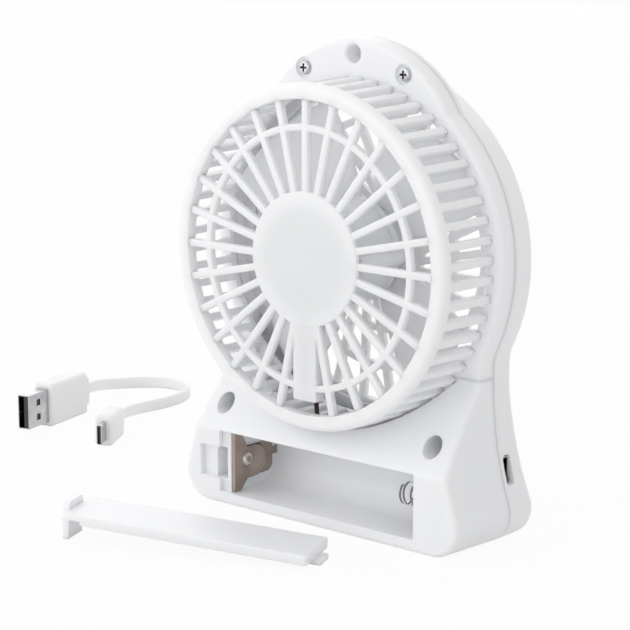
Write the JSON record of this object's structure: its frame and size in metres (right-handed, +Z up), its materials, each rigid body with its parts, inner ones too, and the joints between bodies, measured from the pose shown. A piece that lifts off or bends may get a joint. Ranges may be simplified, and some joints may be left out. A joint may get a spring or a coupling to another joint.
{
  "type": "rechargeable desk fan",
  "caption": "White rechargeable desk fan with a louvred rear cage, hang lug and open battery bay; its battery door and short charging lead lie beside it.",
  "frame": {"origin": "underside of the foot, on the fan's middle plane, in line with the rear face of the head's flange", "axes": "+Z up, +Y out of the back along the fan axis, +X to the side away from the charging socket"},
  "size_m": [0.2232, 0.1567, 0.145],
  "materials": {
    "case_white": "satin moulded",
    "wheel_white": "satin moulded",
    "button_grey": "satin moulded",
    "black_plastic": "moulded",
    "board_green": "solder mask",
    "lens_clear": "clear",
    "motor_steel": "drawn",
    "core_steel": "stacked",
    "screw_steel": "plated",
    "socket_steel": "plated",
    "spring_steel": "plated",
    "contact_bronze": "dark plated",
    "bush_brass": "sintered",
    "coil_copper": "enamelled",
    "magnet_dark": "sintered",
    "wire_red": "insulated",
    "wire_black": "insulated",
    "cord_white": "moulded"
  },
  "bodies": {
    "fan": {"rear_shell": "case_white", "rear_foot": "case_white", "cage_flank": "case_white", "cage_grille": "case_white", "motor_cup": "case_white", "front_shell": "case_white", "front_guard": "case_white", "motor_can": "motor_steel", "motor_bushes": "bush_brass", "motor_end_cap": "black_plastic", "motor_magnets": "magnet_dark", "motor_brushes": "coil_copper", "motor_terminals": "coil_copper", "motor_clamp": "case_white", "motor_clamp_screws": "screw_steel", "top_screws": "screw_steel", "lower_screws": "screw_steel", "board_screws": "screw_steel", "main_board": "board_green", "board_components": "black_plastic", "usb_socket": "socket_steel", "usb_tongue": "black_plastic", "switch_body": "black_plastic", "indicator_lens": "lens_clear", "positive_contact": "contact_bronze", "negative_plate": "spring_steel", "negative_spring": "spring_steel", "motor_wire_red": "wire_red", "motor_wire_black": "wire_black", "battery_wire_red": "wire_red"},
    "rotor": {"impeller": "wheel_white", "motor_shaft": "motor_steel", "armature_core": "core_steel", "armature_windings": "coil_copper", "commutator": "coil_copper"},
    "button": {"power_button": "button_grey", "switch_plunger": "black_plastic"},
    "door": {"battery_door": "case_white"},
    "lead": {"usb_plug_shell": "socket_steel", "usb_plug_insert": "black_plastic", "usb_plug_grip": "cord_white", "lead_cord": "cord_white", "micro_plug_grip": "cord_white", "micro_plug_tip": "socket_steel"}
  },
  "joints": [
    {"name": "impeller_spin", "type": "hinge", "parent": "fan", "child": "rotor", "pos_m": [0, 0, 0.082], "axis": [0, 1, 0], "continuous": true},
    {"name": "power_button_press", "type": "slide", "parent": "fan", "child": "button", "axis": [0, 1, 0], "range_m": [0, 0.0006], "stiffness_N_per_m": 2500},
    {"name": "battery_door_lift", "type": "slide", "parent": "fan", "child": "door", "axis": [0, 0, 1], "range_m": [0, 0.06]},
    {"name": "charging_lead_lift", "type": "slide", "parent": "fan", "child": "lead", "axis": [0, 0, 1], "range_m": [0, 0.06]}
  ]
}
